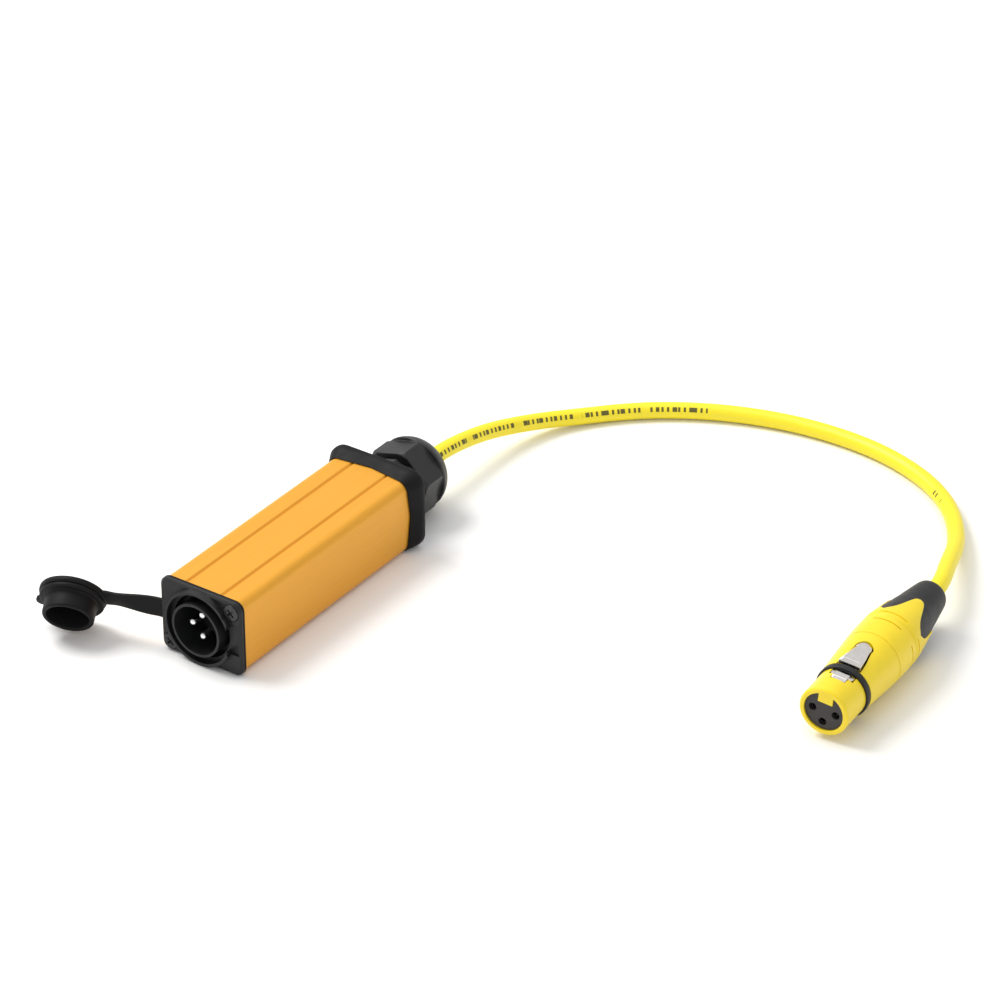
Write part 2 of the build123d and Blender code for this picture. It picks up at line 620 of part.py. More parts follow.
# Painted metal housing: nose, neck under the ring, swelling barrel, key rib.
with BuildPart() as plug_housing:
    with BuildSketch(axis_plane):
        with BuildLine():
            Polyline((6.5, 0.0), (7.6, 0.0), (8.1, 0.5), (8.1, 12.0), (7.6, 12.0), (7.6, 14.3), (8.8, 14.3))
            Spline((8.8, 14.3), (9.3, 22.0), (9.9, 31.0), (10.12, 37.0), (seam_r, seam_d))
            Polyline((seam_r, seam_d), (8.5, seam_d), (8.5, 36.0), (7.9, 34.0), (7.9, 15.4), (6.5, 15.4), (6.5, 0.0))
        make_face()
    revolve(axis=plug_axis)
    # key rib hanging into the nose opening
    with BuildSketch(depth(0.25)):
        with Locations((0, 5.0)):
            Rectangle(4.85, 3.8)
    extrude(amount=-4.0)
    # window for the latch hook, channel under the ring, pocket for the thumb pad
    with BuildSketch(depth(7.0)):
        with Locations((0, 7.0)):
            Rectangle(5.0, 3.4)
    extrude(amount=-20.0, mode=Mode.SUBTRACT)
    # wider slot behind the window for the lever's two ears
    with BuildSketch(depth(9.4)):
        with Locations((0, 7.2)):
            Rectangle(8.0, 3.4)
    extrude(amount=-2.6, mode=Mode.SUBTRACT)
    # fine ring round the barrel and four short grip grooves ahead of the seam
    with BuildSketch(meridian(0.0)):
        with Locations((10.3, 31.5)):
            Rectangle(1.0, 0.4)
    revolve(axis=plug_axis, mode=Mode.SUBTRACT)
    for turn in (27.0, 117.0, 207.0, 297.0):
        with BuildSketch(meridian(turn)):
            with Locations((10.3, seam_d - 2.2)):
                Rectangle(1.0, 0.45)
        revolve(axis=plug_axis, revolution_arc=56.0, mode=Mode.SUBTRACT)
    with BuildSketch(Plane(origin=at(0, 0, 7.1), x_dir=side_dir, z_dir=up_dir)):
        with BuildLine():
            Polyline((-4.1, 14.0), (4.1, 14.0), (3.7, 18.5), (2.9, 23.6))
            ThreePointArc((2.9, 23.6), (0, 27.2), (-2.9, 23.6))
            Polyline((-2.9, 23.6), (-3.7, 18.5), (-4.1, 14.0))
        make_face()
    extrude(amount=5.0, mode=Mode.SUBTRACT)
plug_housing.part.label = "plug_housing"
export_step(plug_housing.part, "parts/plug_housing.step")

# Black ring in the groove behind the nose.
with BuildPart() as coding_ring:
    with BuildSketch(depth(12.05)):
        Circle(8.8)
        Circle(7.63, mode=Mode.SUBTRACT)
    extrude(amount=-2.2)
    fillet(coding_ring.edges().filter_by(GeomType.CIRCLE).filter_by(lambda e: e.radius > 8), 0.35)
coding_ring.part.label = "coding_ring"
export_step(coding_ring.part, "parts/coding_ring.step")

# Insulator with three contact holes and a keyway along its top.
with BuildPart() as plug_insert:
    with BuildSketch(depth(0.6)):
        Circle(6.45)
    extrude(amount=-14.9)
    with BuildSketch(depth(15.45)):
        Circle(7.8)
    extrude(amount=-2.0)
    with BuildSketch(depth(17.4)):
        Circle(6.6)
    extrude(amount=-7.5)
    with BuildSketch(depth(0.0)):
        with Locations((0, 5.6)):
            Rectangle(4.95, 5.2)
    extrude(amount=-4.4, mode=Mode.SUBTRACT)
    with BuildSketch(depth(4.0)):
        with Locations((0, 7.0)):
            Rectangle(5.6, 4.0)
    extrude(amount=-22.0, mode=Mode.SUBTRACT)
    # flat across the flange, below the thumb pad's travel
    with BuildSketch(depth(15.2)):
        with Locations((0, 7.5)):
            Rectangle(9.4, 1.6)
    extrude(amount=-2.6, mode=Mode.SUBTRACT)
    with BuildSketch(depth(0.0)):
        with Locations((pin_offset, 0), (-pin_offset, 0), (0, -pin_offset)):
            Circle(1.3)
    extrude(amount=-2.2, mode=Mode.SUBTRACT)
    with BuildSketch(depth(2.1)):
        with Locations((pin_offset, 0), (-pin_offset, 0), (0, -pin_offset)):
            Circle(1.75)
    extrude(amount=-24.0, mode=Mode.SUBTRACT)
plug_insert.part.label = "plug_insert"
export_step(plug_insert.part, "parts/plug_insert.step")

# Three socket contacts with solder cups.
with BuildPart() as socket_contacts:
    with BuildSketch(depth(2.2)):
        with Locations((pin_offset, 0), (-pin_offset, 0), (0, -pin_offset)):
            Circle(1.7)
    extrude(amount=-25.8)
    with BuildSketch(depth(2.2)):
        with Locations((pin_offset, 0), (-pin_offset, 0), (0, -pin_offset)):
            Circle(1.25)
    extrude(amount=-15.0, mode=Mode.SUBTRACT)
    with BuildSketch(depth(28.0)):
        with Locations((pin_offset, 0), (-pin_offset, 0), (0, -pin_offset)):
            Circle(1.1)
    extrude(amount=3.0, mode=Mode.SUBTRACT)
socket_contacts.part.label = "socket_contacts"
export_step(socket_contacts.part, "parts/socket_contacts.step")

# Latch lever: hook in the nose window, arm under the ring, thumb pad behind it.
latch_y, latch_v = 26.0, 7.9                    # pivot depth and height
with BuildPart() as latch_lever:
    with BuildSketch(Plane(origin=at(0, -2.3, 0), x_dir=rear_dir, z_dir=side_dir)):
        with BuildLine():
            # x runs to the rear, y is up or down depending on handedness
            Polyline((7.6, 6.55), (7.6, 7.45), (8.6, 8.0), (10.9, 8.0), (10.9, 7.25), (15.0, 7.25), (15.0, 8.3), (25.0, 8.3), (25.0, 7.2), (24.0, 6.55), close=True)
        make_face()
    extrude(amount=4.6)
    with BuildSketch(Plane(origin=at(0, 0, 7.9), x_dir=side_dir, z_dir=up_dir)):
        with BuildLine():
            Polyline((-3.65, 14.7), (3.65, 14.7), (3.25, 18.5), (2.45, 23.4))
            ThreePointArc((2.45, 23.4), (0, 26.6), (-2.45, 23.4))
            Polyline((-2.45, 23.4), (-3.25, 18.5), (-3.65, 14.7))
        make_face()
    extrude(amount=2.2)
    # broad bevel round the top of the thumb pad
    chamfer(latch_lever.faces().sort_by(Axis(origin=nose_c, direction=up_dir))[-1].edges(), 0.9)
    # ears either side of the hook, flush with the nose
    with BuildSketch(Plane(origin=at(0, 0, 6.95), x_dir=side_dir, z_dir=up_dir)):
        with Locations((0, 10.55)):
            Rectangle(7.2, 1.5)
    extrude(amount=0.35)
latch_lever.part.label = "latch_lever"
export_step(latch_lever.part, "parts/latch_lever.step")

# Bared cores running on from the cable to the contacts' solder cups.
with BuildPart() as plug_leads:
    for lu, lv in ((pin_offset, 0.0), (-pin_offset, 0.0), (0.0, -pin_offset)):
        with BuildLine() as lead_run:
            Spline(at(25.6, lu, lv), at(29.5, lu * 0.85, lv * 0.85), at(32.9, lu * 0.26, lv * 0.26), tangents=(rear_dir, rear_dir))
        with BuildSketch(start_plane(at(25.6, lu, lv), rear_dir)):
            Circle(0.55)
        sweep(path=lead_run.wires()[0])
plug_leads.part.label = "plug_leads"
export_step(plug_leads.part, "parts/plug_leads.step")

# Leaf spring under the lever, resting in the insert's keyway.
with BuildPart() as latch_spring:
    with BuildSketch(Plane(origin=at(0, -1.6, 0), x_dir=rear_dir, z_dir=side_dir)):
        with BuildLine():
            Polyline((14.6, 5.05), (23.6, 5.05), (23.6, 5.25), (19.5, 5.25), (15.6, 5.75), (15.5, 5.55), (18.6, 5.25), (14.6, 5.25), close=True)
        make_face()
    extrude(amount=3.2)
latch_spring.part.label = "latch_spring"
export_step(latch_spring.part, "parts/latch_spring.step")

# Slotted grip that clamps the cable inside the barrel.
with BuildPart() as cord_grip:
    with BuildSketch(depth(34.6)):
        Circle(7.2)
        Circle(cable_r + 0.04, mode=Mode.SUBTRACT)
    extrude(amount=-11.0)
    with BuildSketch(depth(38.0)):
        with PolarLocations(5.4, 4):
            Rectangle(6.0, 0.8)
    extrude(amount=-9.0, mode=Mode.SUBTRACT)
cord_grip.part.label = "cord_grip"
export_step(cord_grip.part, "parts/cord_grip.step")

# Screw-on bushing: threaded neck inside the barrel and a skirt ending in petals.
with BuildPart() as boot_bushing:
    with BuildSketch(axis_plane):
        with BuildLine():
            Polyline((7.3, 37.0), (8.4, 37.0), (8.4, seam_d + 0.15), (seam_r, seam_d + 0.15))
            Spline((seam_r, seam_d + 0.15), (9.75, 48.0), (8.95, 53.0), (8.0, 58.6))
            Polyline((8.0, 58.6), (7.0, 58.6))
            Spline((7.0, 58.6), (7.85, 53.0), (8.6, 48.0))
            Polyline((8.6, 48.0), (7.3, 46.5), (7.3, 37.0))
        make_face()
    revolve(axis=plug_axis)
    # four valleys between the petals
    for turn in (18.0, 108.0, 198.0, 288.0):
        ta, tb = math.cos(math.radians(turn)), math.sin(math.radians(turn))
        radial = tuple(side_dir[i] * ta + up_dir[i] * tb for i in range(3))
        with BuildSketch(Plane(origin=nose_c, x_dir=rear_dir, z_dir=radial)):
            with BuildLine():
                Polyline((47.5, 0.0), (49.0, 2.2), (51.2, 3.7), (55.0, 5.0), (60.0, 6.2), (60.0, -6.2), (55.0, -5.0), (51.2, -3.7), (49.0, -2.2), close=True)
            make_face()
        extrude(amount=12.0, mode=Mode.SUBTRACT)
    # four short grip grooves behind the seam
    for turn in (27.0, 117.0, 207.0, 297.0):
        with BuildSketch(meridian(turn)):
            with Locations((10.2, seam_d + 2.3)):
                Rectangle(1.0, 0.45)
        revolve(axis=plug_axis, revolution_arc=56.0, mode=Mode.SUBTRACT)
boot_bushing.part.label = "boot_bushing"
export_step(boot_bushing.part, "parts/boot_bushing.step")

# Black flexible boot under the bushing's skirt, gripping the cable.
with BuildPart() as boot_overmould:
    with BuildSketch(axis_plane):
        with BuildLine():
            Polyline((cable_r + 0.04, 47.2), (7.3, 47.2), (8.5, 48.2))
            Spline((8.5, 48.2), (7.75, 53.0), (6.9, 58.6))
            Line((6.9, 58.6), (7.7, 58.75))
            Spline((7.7, 58.75), (7.0, 63.0), (6.2, 68.0), (5.5, 72.6))
            Polyline((5.5, 72.6), (4.8, boot_len), (cable_r + 0.04, boot_len), (cable_r + 0.04, 47.2))
        make_face()
    revolve(axis=plug_axis)
boot_overmould.part.label = "boot_overmould"
export_step(boot_overmould.part, "parts/boot_overmould.step")

# ===========================================================================
# DUST CAP ON ITS STRAP
# ===========================================================================
hd = math.radians(strap_heading)
tw = math.radians(cap_twist)
strap_dir = (math.cos(hd), math.sin(hd), 0.0)
front_n = (-math.sin(hd), math.cos(hd), 0.0)                      # horizontal, square to the strap
plug_dir = tuple(front_n[i] * math.cos(tw) - (0.0, 0.0, 1.0)[i] * math.sin(tw) for i in range(3))
wide_dir = tuple((0.0, 0.0, 1.0)[i] * math.cos(tw) + front_n[i] * math.sin(tw) for i in range(3))
edge_c = vec(fold_c, strap_dir, strap_len)
mid_c = vec(fold_c, strap_dir, strap_mid)
nd = math.radians(cap_nod)
cap_z = tuple(plug_dir[i] * math.cos(nd) - strap_dir[i] * math.sin(nd) for i in range(3))
cap_x = tuple(strap_dir[i] * math.cos(nd) + plug_dir[i] * math.sin(nd) for i in range(3))
cap_c = vec(edge_c, cap_x, cap_reach)

# First half of the strap: a flat strip beyond the fold line.
with BuildPart() as strap_root:
    with BuildSketch(Plane(origin=vec(fold_c, strap_dir, 1.2), x_dir=(0, 0, 1), z_dir=strap_dir)):
        Rectangle(strap_w, strap_t)
    extrude(amount=strap_mid - 1.2 - 0.05)
strap_root.part.label = "strap_root"
export_step(strap_root.part, "parts/strap_root.step")

# Second half of the strap, twisted round its own length.
with BuildPart() as strap_end:
    with BuildSketch(Plane(origin=mid_c, x_dir=wide_dir, z_dir=strap_dir)):
        Rectangle(strap_w, strap_t)
    extrude(amount=strap_len - strap_mid)
    # rolled end on the line where the cap folds
    with BuildSketch(Plane(origin=vec(edge_c, wide_dir, -strap_w / 2), x_dir=strap_dir, z_dir=wide_dir)):
        Circle(strap_t / 2)
    extrude(amount=strap_w)
strap_end.part.label = "strap_end"
export_step(strap_end.part, "parts/strap_end.step")

# Dust cap: stepped rim, hollow plug and a pull tab on the far side.
cap_plane = Plane(origin=cap_c, x_dir=cap_x, z_dir=cap_z)
with BuildPart() as dust_cap:
    with BuildSketch(cap_plane.offset(-1.0)):
        Circle(10.7)
    extrude(amount=2.0)
    fillet(dust_cap.edges().filter_by(GeomType.CIRCLE), 0.6)
    # lower band of the rim, a little smaller
    with BuildSketch(cap_plane.offset(0.9)):
        Circle(10.2)
    extrude(amount=1.7)
    with BuildSketch(cap_plane.offset(2.5)):
        Circle(8.2)
    extrude(amount=5.9)
    with BuildSketch(cap_plane.offset(0.6)):
        Circle(6.7)
    extrude(amount=12.0, mode=Mode.SUBTRACT)
    with BuildSketch(cap_plane.offset(-0.4)):
        with PolarLocations(11.5, 1, 35.0):
            RectangleRounded(3.8, 4.6, 1.4)
    extrude(amount=1.4)
    # seat for the strap's rolled end
    with BuildSketch(Plane(origin=vec(edge_c, wide_dir, -6.0), x_dir=strap_dir, z_dir=wide_dir)):
        Circle(strap_t / 2 + 0.35)
    extrude(amount=12.0, mode=Mode.SUBTRACT)
dust_cap.part.label = "dust_cap"
export_step(dust_cap.part, "parts/dust_cap.step")
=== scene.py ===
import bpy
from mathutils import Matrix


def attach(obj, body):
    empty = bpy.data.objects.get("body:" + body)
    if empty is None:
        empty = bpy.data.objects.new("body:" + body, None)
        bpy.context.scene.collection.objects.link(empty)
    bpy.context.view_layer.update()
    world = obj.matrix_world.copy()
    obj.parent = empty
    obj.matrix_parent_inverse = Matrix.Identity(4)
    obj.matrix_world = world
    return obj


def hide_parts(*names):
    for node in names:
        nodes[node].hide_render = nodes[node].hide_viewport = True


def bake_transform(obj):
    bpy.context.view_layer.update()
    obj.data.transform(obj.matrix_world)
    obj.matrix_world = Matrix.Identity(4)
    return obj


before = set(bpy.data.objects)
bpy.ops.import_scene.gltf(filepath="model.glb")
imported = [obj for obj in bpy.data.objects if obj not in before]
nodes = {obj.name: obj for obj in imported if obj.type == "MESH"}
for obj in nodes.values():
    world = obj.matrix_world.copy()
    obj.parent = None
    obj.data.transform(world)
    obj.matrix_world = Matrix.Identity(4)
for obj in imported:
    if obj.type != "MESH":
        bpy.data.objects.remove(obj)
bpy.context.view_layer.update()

import math

import bmesh
import bpy
from mathutils import Matrix, Vector

scene = bpy.context.scene
MM = 0.001

# ---------------------------------------------------------------------------
# Main places, in millimetres, in the shared frame.
# ---------------------------------------------------------------------------
FLOOR_Z = -13.0
NOSE = Vector((176.98, 72.93, -3.16))
YAW, PITCH, ROLL = math.radians(4.2), math.radians(0.55), math.radians(6.2)
OUT = Vector((math.sin(YAW) * math.cos(PITCH), -math.cos(YAW) * math.cos(PITCH), -math.sin(PITCH)))
FLAT = Vector((math.cos(YAW), math.sin(YAW), 0.0))
UP0 = OUT.cross(FLAT)
SIDE = FLAT * math.cos(ROLL) - UP0 * math.sin(ROLL)
UP = UP0 * math.cos(ROLL) + FLAT * math.sin(ROLL)
REAR = -OUT


def at(d, u=0.0, v=0.0):
    return NOSE + REAR * d + SIDE * u + UP * v


FOLD = Vector((-17.2, 1.85, 0.0))
HEAD = math.radians(197.4)
TWIST = math.radians(27.5)
NOD = math.radians(6.1)
STRAP_MID, STRAP_LEN, CAP_REACH = 8.65, 17.35, 11.0
Z = Vector((0, 0, 1))
SD = Vector((math.cos(HEAD), math.sin(HEAD), 0.0))
FN = Vector((-math.sin(HEAD), math.cos(HEAD), 0.0))
PLUG_DIR = FN * math.cos(TWIST) - Z * math.sin(TWIST)
WIDE_DIR = Z * math.cos(TWIST) + FN * math.sin(TWIST)
EDGE = FOLD + SD * STRAP_LEN
CAP_Z = PLUG_DIR * math.cos(NOD) - SD * math.sin(NOD)
CAP_X = SD * math.cos(NOD) + PLUG_DIR * math.sin(NOD)
CAP_Y = CAP_Z.cross(CAP_X)
CAP_C = EDGE + CAP_X * CAP_REACH


# ---------------------------------------------------------------------------
# Mesh helpers. Shapes are (points, faces) pairs in millimetres.
# ---------------------------------------------------------------------------
def grid(rows, wrap_rows=False, wrap_cols=True, cap=False):
    n, m = len(rows), len(rows[0])
    pts = [p for row in rows for p in row]
    faces = []
    for i in range(n if wrap_rows else n - 1):
        j = (i + 1) % n
        for k in range(m if wrap_cols else m - 1):
            l = (k + 1) % m
            faces.append((i * m + k, i * m + l, j * m + l, j * m + k))
    if cap:
        faces.append(tuple(reversed(range(m))))
        faces.append(tuple((n - 1) * m + k for k in range(m)))
    return pts, faces


def lathe(origin, axis, ref, profile, n=96, closed=False):
    """Turns (distance along the axis, radius) points round the axis. Radius 0 makes a pole."""
    axis, ref = axis.normalized(), ref.normalized()
    other = axis.cross(ref)
    pts, rings = [], []
    for t, r in profile:
        if r < 1e-6:
            rings.append([len(pts)])
            pts.append(origin + axis * t)
            continue
        ring = []
        for k in range(n):
            a = 2 * math.pi * k / n
            ring.append(len(pts))
            pts.append(origin + axis * t + ref * (r * math.cos(a)) + other * (r * math.sin(a)))
        rings.append(ring)
    faces = []
    pairs = list(zip(rings, rings[1:])) + ([(rings[-1], rings[0])] if closed else [])
    for a, b in pairs:
        if len(a) == 1 and len(b) == 1:
            continue
        for k in range(n):
            l = (k + 1) % n
            if len(a) == 1:
                faces.append((a[0], b[l], b[k]))
            elif len(b) == 1:
                faces.append((a[k], a[l], b[0]))
            else:
                faces.append((a[k], a[l], b[l], b[k]))
    return pts, faces


def outline_angles(w, h, r, extra=9, base=72):
    angles = [2 * math.pi * k / base for k in range(base)]
    a0 = math.atan2(h / 2 - r, w / 2)
    a1 = math.atan2(h / 2, w / 2 - r)
    for s in range(4):
        for k in range(extra):
            t = a0 + (a1 - a0) * k / (extra - 1)
            angles.append({0: t, 1: math.pi - t, 2: math.pi + t, 3: 2 * math.pi - t}[s])
    angles.sort()
    keep = []
    for a in angles:
        if not keep or a - keep[-1] > math.radians(0.8):
            keep.append(a)
    return keep


def rounded(w, h, r, a):
    """Point of a rounded rectangle's outline in the direction a."""
    c, s = math.cos(a), math.sin(a)
    if abs(c) > 1e-9:
        t = (w / 2) / abs(c)
        if abs(t * s) <= h / 2 - r:
            return t * c, t * s
    if abs(s) > 1e-9:
        t = (h / 2) / abs(s)
        if abs(t * c) <= w / 2 - r:
            return t * c, t * s
    cx, cy = math.copysign(w / 2 - r, c), math.copysign(h / 2 - r, s)
    d = c * cx + s * cy
    t = d + math.sqrt(max(0.0, d * d - cx * cx - cy * cy + r * r))
    return t * c, t * s


def make(name, *shapes, angle=38.0):
    pts, faces = [], []
    for p, f in shapes:
        off = len(pts)
        pts += [tuple(c * MM for c in v) for v in p]
        faces += [tuple(i + off for i in q) for q in f]
    me = bpy.data.meshes.new(name)
    me.from_pydata(pts, [], faces)
    me.validate()
    bm = bmesh.new()
    bm.from_mesh(me)
    bmesh.ops.recalc_face_normals(bm, faces=bm.faces)
    bm.to_mesh(me)
    bm.free()
    ob = bpy.data.objects.new(name, me)
    scene.collection.objects.link(ob)
    me.polygons.foreach_set("use_smooth", [True] * len(me.polygons))
    me.set_sharp_from_angle(angle=math.radians(angle))
    me.update()
    return ob


def smoothstep(x):
    x = max(0.0, min(1.0, x))
    return x * x * (3 - 2 * x)


def table_value(table, x):
    """Smooth monotone reading of a list of (x, y) points."""
    if x <= table[0][0]:
        return table[0][1]
    if x >= table[-1][0]:
        return table[-1][1]
    slopes = []
    d = [(b[1] - a[1]) / (b[0] - a[0]) for a, b in zip(table, table[1:])]
    for i in range(len(table)):
        if i == 0:
            slopes.append(d[0])
        elif i == len(table) - 1:
            slopes.append(d[-1])
        elif d[i - 1] * d[i] <= 0:
            slopes.append(0.0)
        else:
            slopes.append(2 * d[i - 1] * d[i] / (d[i - 1] + d[i]))
    for i, (a, b) in enumerate(zip(table, table[1:])):
        if x <= b[0]:
            h = b[0] - a[0]
            t = (x - a[0]) / h
            return ((2 * t ** 3 - 3 * t ** 2 + 1) * a[1] + (t ** 3 - 2 * t ** 2 + t) * h * slopes[i]
                    + (-2 * t ** 3 + 3 * t ** 2) * b[1] + (t ** 3 - t ** 2) * h * slopes[i + 1])
    return table[-1][1]


# ---------------------------------------------------------------------------
# Materials: all procedural.
# ---------------------------------------------------------------------------
def material(name, colour, rough, metal=0.0, tint=0.88, scale=700.0, stretch=(1.0, 1.0, 1.0), grain=0.05,
             fine=4000.0, swing=0.06, coat=0.0, bevel=0.0, specular=0.5, aniso=0.0):
    m = bpy.data.materials.new(name)
    m.use_nodes = True
    nt = m.node_tree
    N, L = nt.nodes, nt.links
    N.clear()
    out = N.new("ShaderNodeOutputMaterial")
    bsdf = N.new("ShaderNodeBsdfPrincipled")
    L.new(bsdf.outputs["BSDF"], out.inputs["Surface"])
    tc = N.new("ShaderNodeTexCoord")
    mp = N.new("ShaderNodeMapping")
    mp.inputs["Scale"].default_value = stretch
    L.new(tc.outputs["Object"], mp.inputs["Vector"])
    n1 = N.new("ShaderNodeTexNoise")
    n1.inputs["Scale"].default_value = scale
    n1.inputs["Detail"].default_value = 5.0
    L.new(mp.outputs["Vector"], n1.inputs["Vector"])
    ramp = N.new("ShaderNodeValToRGB")
    ramp.color_ramp.elements[0].position = 0.3
    ramp.color_ramp.elements[1].position = 0.7
    ramp.color_ramp.elements[0].color = tuple(c * tint for c in colour) + (1.0,)
    ramp.color_ramp.elements[1].color = tuple(colour) + (1.0,)
    L.new(n1.outputs["Fac"], ramp.inputs["Fac"])
    L.new(ramp.outputs["Color"], bsdf.inputs["Base Color"])
    mr = N.new("ShaderNodeMapRange")
    mr.inputs["From Min"].default_value = 0.3
    mr.inputs["From Max"].default_value = 0.7
    mr.inputs["To Min"].default_value = max(0.02, rough - swing)
    mr.inputs["To Max"].default_value = min(1.0, rough + swing)
    L.new(n1.outputs["Fac"], mr.inputs["Value"])
    L.new(mr.outputs["Result"], bsdf.inputs["Roughness"])
    bsdf.inputs["Metallic"].default_value = metal
    bsdf.inputs["Specular IOR Level"].default_value = specular
    bsdf.inputs["Coat Weight"].default_value = coat
    bsdf.inputs["Coat Roughness"].default_value = 0.15
    if aniso:
        bsdf.inputs["Anisotropic"].default_value = aniso
    n2 = N.new("ShaderNodeTexNoise")
    n2.inputs["Scale"].default_value = fine
    n2.inputs["Detail"].default_value = 3.0
    L.new(mp.outputs["Vector"], n2.inputs["Vector"])
    bp = N.new("ShaderNodeBump")
    bp.inputs["Strength"].default_value = grain
    bp.inputs["Distance"].default_value = 0.0002
    L.new(n2.outputs["Fac"], bp.inputs["Height"])
    if bevel:
        bv = N.new("ShaderNodeBevel")
        bv.samples = 6
        bv.inputs["Radius"].default_value = bevel * MM
        L.new(bv.outputs["Normal"], bp.inputs["Normal"])
    L.new(bp.outputs["Normal"], bsdf.inputs["Normal"])
    return m


gold = material("gold_anodised", (0.80, 0.375, 0.034), 0.42, metal=0.30, tint=0.93, scale=2600.0,
                stretch=(1.0, 0.02, 1.0), grain=0.14, fine=5200.0, swing=0.04, bevel=0.06, specular=0.35)
rubber = material("black_rubber", (0.0075, 0.0075, 0.0085), 0.55, tint=0.75, scale=260.0, grain=0.10, fine=5200.0, swing=0.06, specular=0.15)
boot_rubber = material("boot_rubber", (0.017, 0.017, 0.018), 0.50, tint=0.85, scale=260.0, grain=0.08, fine=5200.0, swing=0.05, specular=0.35)
cast = material("black_lacquer", (0.012, 0.012, 0.0135), 0.42, tint=0.8, scale=320.0, grain=0.10, fine=4200.0, swing=0.05, bevel=0.25, specular=0.3)
plastic = material("black_plastic", (0.013, 0.013, 0.0145), 0.46, tint=0.8, scale=300.0, grain=0.06, fine=3600.0, swing=0.05, bevel=0.35, specular=0.35)
nut_plastic = material("black_nut", (0.011, 0.011, 0.012), 0.42, tint=0.8, scale=300.0, grain=0.06, fine=3600.0, swing=0.05, bevel=0.9)
dark_insert = material("charcoal_plastic", (0.030, 0.025, 0.025), 0.55, tint=0.85, scale=300.0, grain=0.05, fine=3600.0, bevel=0.12)
hidden_black = material("black_inner", (0.007, 0.007, 0.008), 0.6, tint=0.85, scale=300.0, grain=0.05, bevel=0.1)
silver = material("contact_silver", (0.90, 0.90, 0.91), 0.22, metal=1.0, tint=0.94, scale=500.0, grain=0.02, swing=0.04)
screw = material("black_screw", (0.028, 0.028, 0.030), 0.32, metal=0.3, tint=0.8, scale=600.0, grain=0.05, bevel=0.12)
board = material("board_green", (0.02, 0.16, 0.06), 0.42, tint=0.8, scale=180.0, grain=0.04)
can = material("can_steel", (0.56, 0.56, 0.58), 0.34, metal=1.0, tint=0.9, scale=500.0, stretch=(1.0, 0.05, 1.0), grain=0.08)
core_steel = material("core_steel", (0.26, 0.26, 0.27), 0.5, metal=0.9, tint=0.8, scale=1200.0, stretch=(1.0, 1.0, 6.0), grain=0.1)
winding = material("winding", (0.50, 0.21, 0.07), 0.38, metal=0.5, tint=0.7, scale=1800.0, stretch=(0.1, 1.0, 0.1), grain=0.2)
sleeve = material("capacitor_sleeve", (0.02, 0.03, 0.07), 0.3, tint=0.85, scale=300.0, grain=0.02)
chip = material("resistor_body", (0.035, 0.035, 0.035), 0.5, tint=0.8, scale=700.0, grain=0.04)
insulation = material("core_insulation", (0.62, 0.62, 0.60), 0.45, tint=0.92, scale=500.0, grain=0.03)
enamel = material("yellow_enamel", (0.93, 0.70, 0.010), 0.36, tint=0.955, scale=240.0, grain=0.035, fine=3000.0, swing=0.05, coat=0.12, bevel=0.15)
petal = material("yellow_plastic", (0.90, 0.68, 0.014), 0.42, tint=0.955, scale=240.0, grain=0.035, fine=3000.0, swing=0.05)
nickel = material("latch_nickel", (0.86, 0.82, 0.79), 0.18, metal=1.0, tint=0.93, scale=400.0, grain=0.04, fine=1500.0, swing=0.04, bevel=0.35)

by_node = {
    "enclosure_tube": gold, "male_shell": cast, "male_insert": hidden_black, "male_pins": silver, "panel_screws": screw,
    "rear_screws": screw, "gland_body": plastic, "gland_claw": plastic, "gland_nut": nut_plastic, "circuit_board": board,
    "transformer_can": can, "transformer_core": core_steel, "transformer_bobbin": winding, "capacitors": sleeve,
    "resistors": chip, "hookup_wires": insulation, "cable_tail_cores": insulation, "cable_a_cores": insulation,
    "cable_b_cores": insulation, "cable_c_cores": insulation, "cable_d_cores": insulation, "plug_leads": insulation,
    "plug_housing": enamel, "coding_ring": plastic, "plug_insert": dark_insert, "socket_contacts": silver,
    "latch_lever": nickel, "latch_spring": nickel, "cord_grip": plastic,
    "front_gasket": rubber, "rear_cap": rubber, "gland_washer": rubber, "gland_seal": rubber, "cable_tail": enamel,
    "cable_a": enamel, "cable_b": enamel, "cable_c": enamel, "cable_d": enamel, "boot_bushing": petal,
    "boot_overmould": rubber, "strap_root": rubber, "strap_end": rubber, "dust_cap": rubber,
}
for name, ob in nodes.items():
    ob.data.materials.clear()
    ob.data.materials.append(by_node[name])


def dress(ob, mat):
    ob.data.materials.clear()
    ob.data.materials.append(mat)
    return ob


# ---------------------------------------------------------------------------
# Front gasket: a thin rubber frame with a soft bulging edge.
# ---------------------------------------------------------------------------
PW, PH, PR = 31.0, 26.0, 3.0
angles = outline_angles(PW, PH, PR)


def frame_ring(w, h, r, y, zc=0.0):
    out = []
    for a in angles:
        x, z = rounded(w, h, r, a)
        out.append(Vector((x, y, z + zc)))
    return out


def circle_ring(r, y):
    return [Vector((r * math.cos(a), y, r * math.sin(a))) for a in angles]


gasket_rings = [circle_ring(11.6, 1.42), frame_ring(PW - 0.3, PH - 0.3, PR - 0.15, 1.42)]
for k in range(7):
    t = k / 6.0
    bulge = 0.28 * math.sin(math.pi * t)
    gasket_rings.append(frame_ring(PW - 0.1 + bulge, PH - 0.1 + bulge * 0.3, PR, 1.42 + 0.86 * t))
gasket_rings += [frame_ring(PW - 0.4, PH - 0.4, PR - 0.2, 2.28), circle_ring(11.6, 2.28)]
gasket = make("gasket_soft", grid(gasket_rings, wrap_rows=True))
dress(gasket, rubber)
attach(gasket, "box")
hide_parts("front_gasket")

# ---------------------------------------------------------------------------
# Rear cap: soft pad that flares out from the tube, with lips over its corners.
# ---------------------------------------------------------------------------
angles = outline_angles(36.0, 28.0, 5.5, extra=11, base=84)


